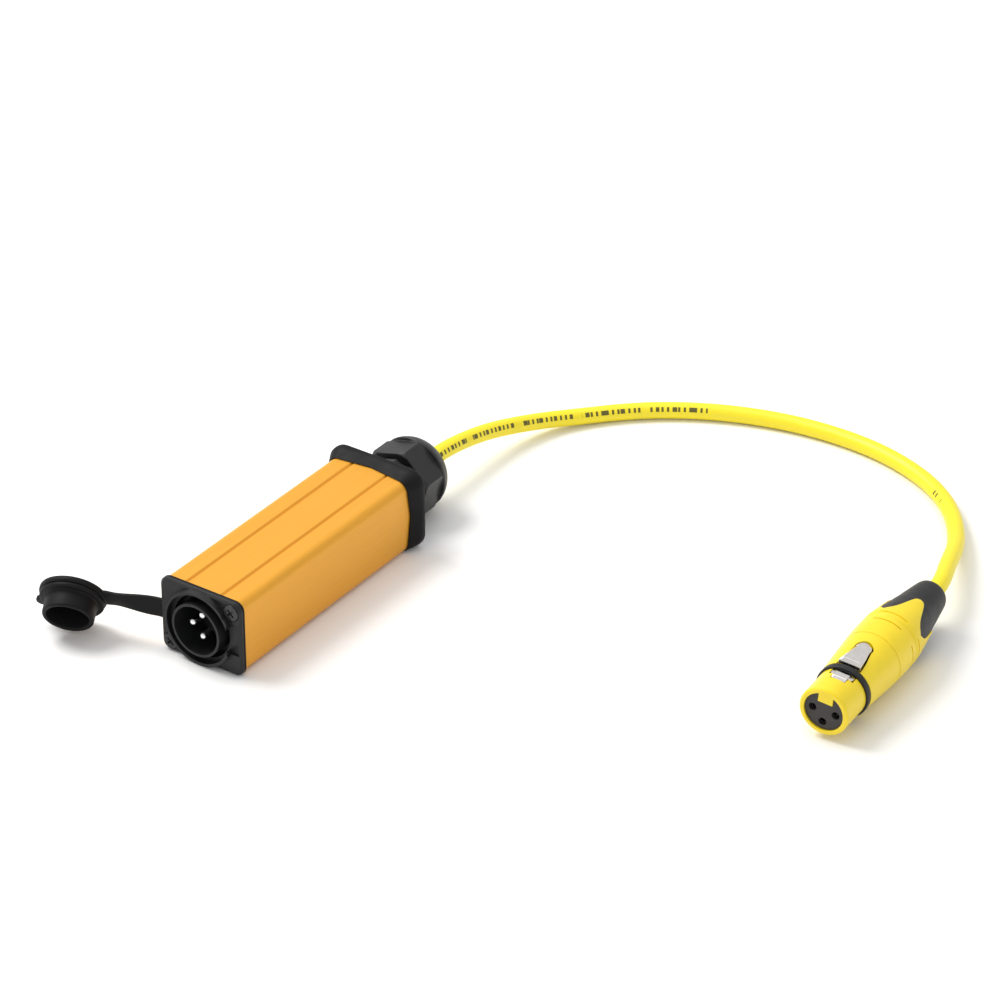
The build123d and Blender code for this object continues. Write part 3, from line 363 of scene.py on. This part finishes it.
def cap_ring(w, h, r, zc, y, forward):
    out = []
    for a in angles:
        x, z = rounded(w, h, r, a)
        c = (abs(x) / (w / 2)) * (abs(z) / (h / 2))
        out.append(Vector((x, y - forward * c, z + zc)))
    return out


cap_rings = [
    cap_ring(30.10, 25.70, 3.25, 0.0, 88.02, 0.0),
    cap_ring(30.16, 25.76, 3.3, 0.0, 88.05, 1.3),
    cap_ring(30.24, 25.84, 3.3, 0.0, 88.0, 1.75),
    cap_ring(30.5, 26.0, 3.45, 0.02, 87.8, 1.9),
    cap_ring(31.0, 26.1, 3.7, 0.08, 87.75, 1.95),
    cap_ring(31.6, 26.3, 3.95, 0.16, 87.95, 1.9),
    cap_ring(32.3, 26.6, 4.2, 0.30, 88.45, 1.8),
    cap_ring(33.3, 26.95, 4.6, 0.48, 89.15, 1.6),
    cap_ring(34.5, 27.4, 5.0, 0.70, 89.9, 1.35),
    cap_ring(35.4, 27.75, 5.3, 0.88, 90.55, 1.1),
    cap_ring(35.85, 27.95, 5.45, 0.975, 91.05, 0.9),
    cap_ring(36.0, 28.0, 5.5, 1.0, 91.5, 0.6),
    cap_ring(35.95, 27.98, 5.5, 1.0, 91.95, 0.3),
    cap_ring(35.7, 27.8, 5.4, 1.0, 92.3, 0.1),
    cap_ring(35.2, 27.4, 5.2, 1.0, 92.55, 0.0),
    cap_ring(34.5, 26.8, 4.9, 1.0, 92.67, 0.0),
    cap_ring(33.6, 26.0, 4.6, 1.0, 92.7, 0.0),
    circle_ring(10.05, 92.7),
    circle_ring(10.05, 88.02),
]
rear = make("rear_cap_soft", grid(cap_rings, wrap_rows=True))
cutters = []
for sx in (-12.0, 12.0):
    for sz in (-9.5, 9.5):
        cutters.append(lathe(Vector((sx, 90.4, sz)), Vector((0, 1, 0)), Vector((1, 0, 0)),
                             [(0.0, 0.0), (0.0, 2.6), (2.0, 2.6), (2.35, 2.75), (3.2, 3.0), (3.2, 0.0)], n=40))
cutter = make("recess_cutter", *cutters)
boolean = rear.modifiers.new("recess", "BOOLEAN")
boolean.operation = "DIFFERENCE"
boolean.solver = "EXACT"
boolean.object = cutter
bpy.context.view_layer.update()
dg = bpy.context.evaluated_depsgraph_get()
cut_mesh = bpy.data.meshes.new_from_object(rear.evaluated_get(dg))
rear.modifiers.clear()
old = rear.data
rear.data = cut_mesh
bpy.data.meshes.remove(old)
bpy.data.objects.remove(cutter)
rear.data.polygons.foreach_set("use_smooth", [True] * len(rear.data.polygons))
rear.data.set_sharp_from_angle(angle=math.radians(35))
dress(rear, rubber)
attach(rear, "box")
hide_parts("rear_cap")

# ---------------------------------------------------------------------------
# Gland washer and seal with rounded edges.
# ---------------------------------------------------------------------------
Y = Vector((0, 1, 0))
X = Vector((1, 0, 0))
washer = make("gland_washer_soft", lathe(Vector((0, 0, 0)), Y, X, [
    (92.72, 10.0), (92.72, 11.3), (92.85, 11.55), (93.2, 11.7), (93.55, 11.55), (93.68, 11.3), (93.68, 10.0)], closed=True))
dress(washer, rubber)
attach(washer, "box")
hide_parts("gland_washer")
seal = make("gland_seal_soft", lathe(Vector((0, 0, 0)), Y, X, [
    (98.1, 2.84), (98.1, 6.5), (98.3, 6.68), (109.6, 6.68), (110.3, 6.4), (111.0, 5.6), (111.1, 2.84)], closed=True))
dress(seal, rubber)
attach(seal, "box")
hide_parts("gland_seal")

# ---------------------------------------------------------------------------
# Dust cap and its strap.
# ---------------------------------------------------------------------------
cap_profile = [
    (-1.10, 0.0), (-1.09, 5.0), (-1.05, 8.5), (-1.00, 9.7), (-0.90, 10.2), (-0.70, 10.52), (-0.42, 10.67), (0.0, 10.7),
    (0.45, 10.68), (0.78, 10.56), (0.98, 10.34), (1.05, 10.10), (1.10, 9.98), (1.22, 9.98), (1.30, 10.08), (1.42, 10.20),
    (1.65, 10.26), (2.05, 10.24), (2.38, 10.10), (2.56, 9.85), (2.62, 9.4), (2.64, 8.85), (2.76, 8.52), (3.02, 8.34),
    (3.4, 8.26), (5.0, 8.20), (7.55, 8.18), (8.0, 8.10), (8.28, 7.90), (8.40, 7.62), (8.40, 7.32), (8.28, 7.02),
    (8.02, 6.80), (7.6, 6.70), (1.7, 6.66), (1.15, 6.55), (0.80, 6.25), (0.62, 5.8), (0.6, 0.0)]
cap_shape = lathe(CAP_C, CAP_Z, CAP_X, cap_profile, n=112)
TAB = math.radians(20.0)
tab_r = CAP_X * math.cos(TAB) + CAP_Y * math.sin(TAB)
tab_s = -CAP_X * math.sin(TAB) + CAP_Y * math.cos(TAB)


def tab_ring(t, inset):
    pts = [(9.5, -2.3 + inset)]
    for k in range(13):
        a = -math.pi / 2 + math.pi * k / 12
        pts.append((11.1 + (2.3 - inset) * math.cos(a), (2.3 - inset) * math.sin(a)))
    pts.append((9.5, 2.3 - inset))
    return [CAP_C + CAP_Z * t + tab_r * p + tab_s * q for p, q in pts]


tab_shape = grid([tab_ring(-0.4, 0.35), tab_ring(-0.32, 0.16), tab_ring(-0.12, 0.02), tab_ring(0.3, 0.0), tab_ring(0.72, 0.02),
                  tab_ring(0.92, 0.16), tab_ring(1.0, 0.35)], cap=True)
dust = make("dust_cap_soft", cap_shape, tab_shape)
dress(dust, rubber)
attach(dust, "cap")
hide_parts("dust_cap")

SECTION = []
for cx, cy, a0 in ((2.95, 0.25, 0), (-2.95, 0.25, 90), (-2.95, -0.25, 180), (2.95, -0.25, 270)):
    for k in range(5):
        a = math.radians(a0 + 22.5 * k)
        SECTION.append((cx + 0.35 * math.cos(a), cy + 0.35 * math.sin(a)))


def strap_point(s):
    """Centre, width direction and normal of the strap, s mm beyond the fold line."""
    a, b, c = FOLD + X * 1.3, FOLD, FOLD + SD * 2.1
    if s < -1.3:
        p, t = FOLD + X * (-s), -X
    elif s < 2.1:
        u = (s + 1.3) / 3.4
        p = a * (1 - u) ** 2 + b * (2 * u * (1 - u)) + c * u ** 2
        t = ((b - a) * (1 - u) + (c - b) * u).normalized()
    elif s < STRAP_LEN - 1.5:
        p, t = FOLD + SD * s, SD
    else:
        u = s - (STRAP_LEN - 1.5)
        bend = NOD * min(1.0, u / 3.0)
        p, t = FOLD + SD * (STRAP_LEN - 1.5) + (SD * math.cos(bend / 2) + PLUG_DIR * math.sin(bend / 2)) * u, SD
    flat = Vector((-t.y, t.x, 0.0)).normalized()
    tau = TWIST * smoothstep((s - 2.0) / 13.2)
    return p, Z * math.cos(tau) + flat * math.sin(tau), flat * math.cos(tau) - Z * math.sin(tau)


def strap_piece(name, s0, s1, steps, first_taper=False, last_taper=False):
    rows = []
    for i in range(steps + 1):
        s = s0 + (s1 - s0) * i / steps
        p, w, nrm = strap_point(s)
        flare = 1.0
        if s > STRAP_LEN - 3.0:
            flare = 1.0 + 0.12 * smoothstep((s - (STRAP_LEN - 3.0)) / 4.0)
        rows.append([p + w * (x * flare) + nrm * y for x, y in SECTION])
    ob = make(name, grid(rows, cap=True))
    return dress(ob, rubber)


strap_a = strap_piece("strap_fold_part", -2.4, 2.0, 30)
strap_b = strap_piece("strap_twist_part", 2.0, 15.2, 60)
strap_c = strap_piece("strap_cap_part", 15.2, 19.6, 28)
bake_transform(strap_a)
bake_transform(strap_b)
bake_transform(strap_c)
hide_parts("strap_root")
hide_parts("strap_end")

# ---------------------------------------------------------------------------
# Cable: one smooth round cord, cut into four pieces halfway between the bend joints.
# ---------------------------------------------------------------------------
CZ = FLOOR_Z + 2.8 + 0.05
B1, B2, B3, B4 = Vector((0, 122, 0)), Vector((22.9, 193.3, CZ)), Vector((97.6, 222.9, CZ)), Vector((148.8, 200.0, CZ + 0.3))
control = [Vector((0, 98, 0)), Vector((0, 106, 0)), Vector((0, 114, 0)), B1] + [Vector(p) for p in (
    (0.1, 131.0, -0.6), (0.6, 141.4, -2.1), (2.1, 153.0, -4.2), (4.9, 164.3, -6.6), (9.2, 174.9, -8.6), (15.4, 184.5, -9.8))] + [B2] + [
    Vector(p) for p in ((31.5, 201.1, CZ), (41.1, 207.8, CZ), (51.5, 213.4, CZ), (62.6, 217.8, CZ), (74.0, 220.9, CZ), (85.8, 222.6, CZ))] + [B3] + [
    Vector(p) for p in ((109.4, 221.7, CZ), (120.6, 218.8, CZ), (131.2, 214.3, CZ), (140.7, 208.1, CZ))] + [B4] + [
    Vector(p) for p in ((155.7, 189.9, -8.7), (161.3, 178.9, -6.7), (165.6, 167.3, -4.4))] + [at(76.5), at(70.0), at(64.0), at(58.0)]


def spline(points):
    """Natural cubic through the points, by chord length; returns knots and a function of length."""
    n = len(points)
    t = [0.0]
    for a, b in zip(points, points[1:]):
        t.append(t[-1] + (b - a).length)
    second = []
    for ax in range(3):
        y = [p[ax] for p in points]
        al, be, ga, de = [0.0] * n, [1.0] * n, [0.0] * n, [0.0] * n
        for i in range(1, n - 1):
            h0, h1 = t[i] - t[i - 1], t[i + 1] - t[i]
            al[i], be[i], ga[i] = h0, 2 * (h0 + h1), h1
            de[i] = 6 * ((y[i + 1] - y[i]) / h1 - (y[i] - y[i - 1]) / h0)
        for i in range(1, n):
            if i == n - 1:
                break
            k = al[i] / be[i - 1]
            be[i] -= k * ga[i - 1]
            de[i] -= k * de[i - 1]
        m = [0.0] * n
        for i in range(n - 2, 0, -1):
            m[i] = (de[i] - ga[i] * m[i + 1]) / be[i]
        second.append(m)

    def value(s):
        i = 0
        while i < n - 2 and s > t[i + 1]:
            i += 1
        h = t[i + 1] - t[i]
        a, b = (t[i + 1] - s) / h, (s - t[i]) / h
        out = []
        for ax in range(3):
            y0, y1 = points[i][ax], points[i + 1][ax]
            m0, m1 = second[ax][i], second[ax][i + 1]
            out.append(a * y0 + b * y1 + ((a ** 3 - a) * m0 + (b ** 3 - b) * m1) * h * h / 6)
        return Vector(out)
    return t, value


knots, course = spline(control)
TOTAL = knots[-1]
STEP = 1.1
count = int(TOTAL / STEP)
samples = [TOTAL * i / count for i in range(count + 1)]
centres = [course(s) for s in samples]
tangents = []
for i, s in enumerate(samples):
    a, b = centres[max(0, i - 1)], centres[min(count, i + 1)]
    tangents.append((b - a).normalized())
# carry the section's direction along the cable without twisting it
ups = []
u = Z - tangents[0] * tangents[0].dot(Z)
u.normalize()
for t in tangents:
    u = (u - t * t.dot(u)).normalized()
    ups.append(u.copy())

SIDES = 28
R_CABLE = 2.8
VIEW = Vector((0.486, -0.699, 0.525))
knot_b1, knot_b2, knot_b3, knot_b4 = (knots[control.index(b)] for b in (B1, B2, B3, B4))
cuts = [0.0, (knot_b1 + knot_b2) / 2, (knot_b2 + knot_b3) / 2, (knot_b3 + knot_b4) / 2, TOTAL]
cut_index = [min(range(count + 1), key=lambda i: abs(samples[i] - c)) for c in cuts]


def cable_material():
    m = material("yellow_jacket", (0.92, 0.76, 0.016), 0.44, tint=0.96, scale=260.0, grain=0.03, fine=3000.0, swing=0.05)
    nt = m.node_tree
    N, L = nt.nodes, nt.links
    bsdf = next(n for n in N if n.type == "BSDF_PRINCIPLED")
    ramp = next(n for n in N if n.type == "VALTORGB")
    uv = N.new("ShaderNodeUVMap")
    uv.uv_map = "length_turn"
    sep = N.new("ShaderNodeSeparateXYZ")
    L.new(uv.outputs["UV"], sep.inputs["Vector"])

    def math_node(op, a, b=None, c=None):
        n = N.new("ShaderNodeMath")
        n.operation = op
        for i, v in enumerate((a, b, c)):
            if v is None:
                continue
            if isinstance(v, (int, float)):
                n.inputs[i].default_value = v
            else:
                L.new(v, n.inputs[i])
        return n.outputs[0]

    length, turn = sep.outputs["X"], sep.outputs["Y"]           # length in mm / 1000, turn 0..1
    mm = math_node("MULTIPLY", length, 1000.0)
    ticks = math_node("LESS_THAN", math_node("FRACT", math_node("DIVIDE", mm, 1.9)), 0.42)
    wide = math_node("LESS_THAN", math_node("FRACT", math_node("DIVIDE", mm, 6.1)), 0.2)
    ticks = math_node("MAXIMUM", ticks, wide)
    gaps = math_node("LESS_THAN", math_node("FRACT", math_node("DIVIDE", math_node("ADD", mm, 6.0), 24.0)), 0.86)
    band = math_node("LESS_THAN", math_node("ABSOLUTE", math_node("SUBTRACT", turn, 0.5)), 0.046)
    near = math_node("LESS_THAN", mm, PRINT_END)
    far = math_node("MULTIPLY", math_node("GREATER_THAN", mm, PRINT_AGAIN), math_node("LESS_THAN", mm, PRINT_AGAIN + 7.0))
    where = math_node("MAXIMUM", near, far)
    mask = math_node("MULTIPLY", math_node("MULTIPLY", ticks, gaps), math_node("MULTIPLY", band, where))
    mask = math_node("MULTIPLY", mask, 0.93)
    mix = N.new("ShaderNodeMix")
    mix.data_type = "RGBA"
    L.new(mask, mix.inputs["Factor"])
    L.new(ramp.outputs["Color"], mix.inputs[6])
    mix.inputs[7].default_value = (0.05, 0.045, 0.01, 1.0)
    L.new(mix.outputs[2], bsdf.inputs["Base Color"])
    return m


PRINT_END = knots[control.index(Vector((51.5, 213.4, CZ)))] - 3.5
PRINT_AGAIN = knot_b4 - 15.0
jacket = cable_material()
half_turn_ref = 0.0
i_ref = cut_index[1]
face_dir = VIEW - tangents[i_ref] * tangents[i_ref].dot(VIEW)
face_dir.normalize()
side_ref = tangents[i_ref].cross(ups[i_ref])
PRINT_ANGLE = math.atan2(face_dir.dot(side_ref), face_dir.dot(ups[i_ref]))

cable_names = ["cable_by_gland", "cable_first_bend", "cable_far_bend", "cable_to_plug"]
cable_pieces = []
for piece in range(4):
    i0, i1 = cut_index[piece], cut_index[piece + 1]
    rows = []
    for i in range(i0, i1 + 1):
        c, t, up = centres[i], tangents[i], ups[i]
        sd = t.cross(up)
        row = []
        for k in range(SIDES):
            a = PRINT_ANGLE + math.pi + 2 * math.pi * k / SIDES      # turn 0.5 faces the print side
            row.append(c + up * (R_CABLE * math.cos(a)) + sd * (R_CABLE * math.sin(a)))
        rows.append(row)
    ob = make(cable_names[piece], grid(rows, cap=True), angle=50)
    uv = ob.data.uv_layers.new(name="length_turn")
    for poly in ob.data.polygons:
        cols = [ob.data.loops[l].vertex_index % SIDES for l in poly.loop_indices]
        wraps = len(cols) == 4 and max(cols) - min(cols) > SIDES / 2
        for l in poly.loop_indices:
            v = ob.data.loops[l].vertex_index
            row, col = v // SIDES, v % SIDES
            turn = col / SIDES
            if wraps and col == 0:
                turn = 1.0
            if len(poly.loop_indices) > 4:
                turn = 0.0
            uv.data[l].uv = (samples[i0 + row] / 1000.0, turn)
    dress(ob, jacket)
    cable_pieces.append(ob)


def blend_at(ob, direction):
    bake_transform(ob)


def tangent_at(s):
    return (course(min(TOTAL, s + 0.5)) - course(max(0.0, s - 0.5))).normalized()


blend_at(cable_pieces[0], Vector((0, 1, 0)))
blend_at(cable_pieces[1], tangent_at(knot_b2))
blend_at(cable_pieces[2], tangent_at(knot_b3))
blend_at(cable_pieces[3], tangent_at(knot_b4))
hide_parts("cable_tail", "cable_a")
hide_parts("cable_b")
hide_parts("cable_c")
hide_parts("cable_d")
# the cores run inside the jacket; they stay as they are

# ---------------------------------------------------------------------------
# Bushing with its petals, and the soft boot under them.
# ---------------------------------------------------------------------------
SEAM = 42.0
SKIRT = [(SEAM + 0.15, 10.15), (45.0, 10.08), (48.0, 9.75), (53.0, 9.0), (56.0, 8.55), (59.8, 8.0)]
VALLEY = 27.0
EDGE_D = [(0.0, 46.6), (4.0, 47.2), (10.0, 48.0), (16.0, 49.4), (20.0, 50.9), (24.0, 53.0), (28.0, 55.2), (32.0, 57.2), (37.0, 58.4), (45.0, 58.9)]


def petal_edge(theta):
    """Depth of the skirt's edge; valleys at VALLEY degrees and every quarter turn on."""
    phi = (math.degrees(theta) - VALLEY) % 90.0
    phi = min(phi, 90.0 - phi)
    return table_value(EDGE_D, phi)


def in_groove(theta):
    q = (math.degrees(theta) - 27.0) % 90.0
    return q >= 90.0 - 56.0


def polar(d, r, theta):
    return at(d, r * math.cos(theta), r * math.sin(theta))


columns = []
TURNS = 180
for k in range(TURNS):
    th = 2 * math.pi * k / TURNS
    de = petal_edge(th)
    loop = []
    outer = [SEAM + 0.15, SEAM + 0.3, SEAM + 2.02, SEAM + 2.08, SEAM + 2.52, SEAM + 2.58]
    span = de - 0.3 - outer[-1]
    outer += [outer[-1] + span * j / 9.0 for j in range(1, 10)]
    for j, d in enumerate(outer):
        r = table_value(SKIRT, d)
        if j == 0:
            r -= 0.12
        if j in (3, 4) and in_groove(th):
            r -= 0.32
        loop.append(polar(d, r, th))
    r_edge = table_value(SKIRT, de)
    loop.append(polar(de - 0.12, r_edge - 0.02, th))
    loop.append(polar(de - 0.02, r_edge - 0.12, th))
    loop.append(polar(de, r_edge - 0.26, th))
    loop.append(polar(de - 0.05, r_edge - 0.5, th))
    for j in range(9, -1, -1):
        d = SEAM + 0.15 + (de - 0.1 - SEAM - 0.15) * j / 10.0
        loop.append(polar(d, table_value(SKIRT, d) - 0.6 - (0.6 if j < 2 else 0.0), th))
    columns.append(loop)
bushing = make("bushing_petals", grid(columns, wrap_rows=True, wrap_cols=True), angle=42)
dress(bushing, petal)
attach(bushing, "plug")
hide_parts("boot_bushing")

boot_profile = []
for d in (46.6, 48.0, 49.5, 51.0, 52.5, 54.0, 55.5, 57.0, 58.6):
    boot_profile.append((d, table_value(SKIRT, d) - 0.24 - 0.16 * smoothstep((d - 52.0) / 6.0)))
boot_profile += [(59.8, 7.50), (61.0, 7.32), (62.5, 7.08), (65.0, 6.74), (67.5, 6.34), (70.0, 5.96), (71.8, 5.66), (72.7, 5.38),
                 (73.2, 4.98), (73.45, 4.4), (73.5, 3.7), (73.4, 3.1), (73.1, 2.86), (60.0, 2.84), (46.6, 2.84)]
boot = make("boot_soft", lathe(NOSE, REAR, SIDE, boot_profile, n=112, closed=True), angle=45)
dress(boot, boot_rubber)
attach(boot, "plug")
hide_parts("boot_overmould")

# ---------------------------------------------------------------------------
# Stage: pale floor, soft daylight from behind on the left, and the camera.
# ---------------------------------------------------------------------------
bpy.ops.mesh.primitive_plane_add(size=6.0, location=(0.08, 0.1, FLOOR_Z * MM - 0.00005))
floor = bpy.context.object
floor.name = "floor"
fm = material("floor_white", (0.93, 0.93, 0.93), 0.7, tint=0.995, scale=6.0, grain=0.0, specular=0.15)
floor.data.materials.append(fm)

world = bpy.data.worlds.new("sky")
scene.world = world
world.use_nodes = True
wn, wl = world.node_tree.nodes, world.node_tree.links
wn.clear()
w_out = wn.new("ShaderNodeOutputWorld")
w_light = wn.new("ShaderNodeBackground")
w_light.inputs["Color"].default_value = (1.0, 1.0, 1.0, 1.0)
w_light.inputs["Strength"].default_value = 0.72
w_seen = wn.new("ShaderNodeBackground")
w_seen.inputs["Color"].default_value = (1.0, 1.0, 1.0, 1.0)
w_seen.inputs["Strength"].default_value = 1.0
w_path = wn.new("ShaderNodeLightPath")
w_mix = wn.new("ShaderNodeMixShader")
wl.new(w_path.outputs["Is Camera Ray"], w_mix.inputs["Fac"])
wl.new(w_light.outputs["Background"], w_mix.inputs[1])
wl.new(w_seen.outputs["Background"], w_mix.inputs[2])
wl.new(w_mix.outputs["Shader"], w_out.inputs["Surface"])

CAM_RIGHT = Vector((math.cos(math.radians(34.811)), math.sin(math.radians(34.811)), 0.0))
az, el = math.radians(34.811), math.radians(31.67)
CAM_FWD = Vector((-math.sin(az) * math.cos(el), math.cos(az) * math.cos(el), -math.sin(el)))
CAM_UP = CAM_RIGHT.cross(CAM_FWD)
centre = Vector((0.075, 0.10, 0.0))


def area(name, offset, size, power, colour=(1, 1, 1)):
    data = bpy.data.lights.new(name, "AREA")
    data.shape = "DISK"
    data.size = size
    data.energy = power
    data.color = colour
    ob = bpy.data.objects.new(name, data)
    ob.location = centre + offset
    ob.rotation_euler = (-offset).to_track_quat("-Z", "Y").to_euler()
    scene.collection.objects.link(ob)
    return ob


flat_fwd = Vector((CAM_FWD.x, CAM_FWD.y, 0.0)).normalized()
area("key", -CAM_RIGHT * 0.75 + flat_fwd * 0.35 + Vector((0, 0, 1.05)), 0.75, 14.0, (1.0, 0.985, 0.96))
area("top", CAM_RIGHT * 0.1 + flat_fwd * 0.45 + Vector((0, 0, 1.3)), 1.0, 2.5)

cam_data = bpy.data.cameras.new("camera")
cam_data.lens = 157.45
cam_data.sensor_width = 36.0
cam_data.clip_start = 0.01
camera = bpy.data.objects.new("camera", cam_data)
scene.collection.objects.link(camera)
rot = Matrix((
    (CAM_RIGHT.x, CAM_UP.x, -CAM_FWD.x, 0.7098552),
    (CAM_RIGHT.y, CAM_UP.y, -CAM_FWD.y, -0.8613915),
    (CAM_RIGHT.z, CAM_UP.z, -CAM_FWD.z, 0.7317150),
    (0, 0, 0, 1)))
camera.matrix_world = rot
scene.camera = camera
scene.view_settings.view_transform = "Standard"
scene.view_settings.look = "None"
scene.view_settings.exposure = 0.0
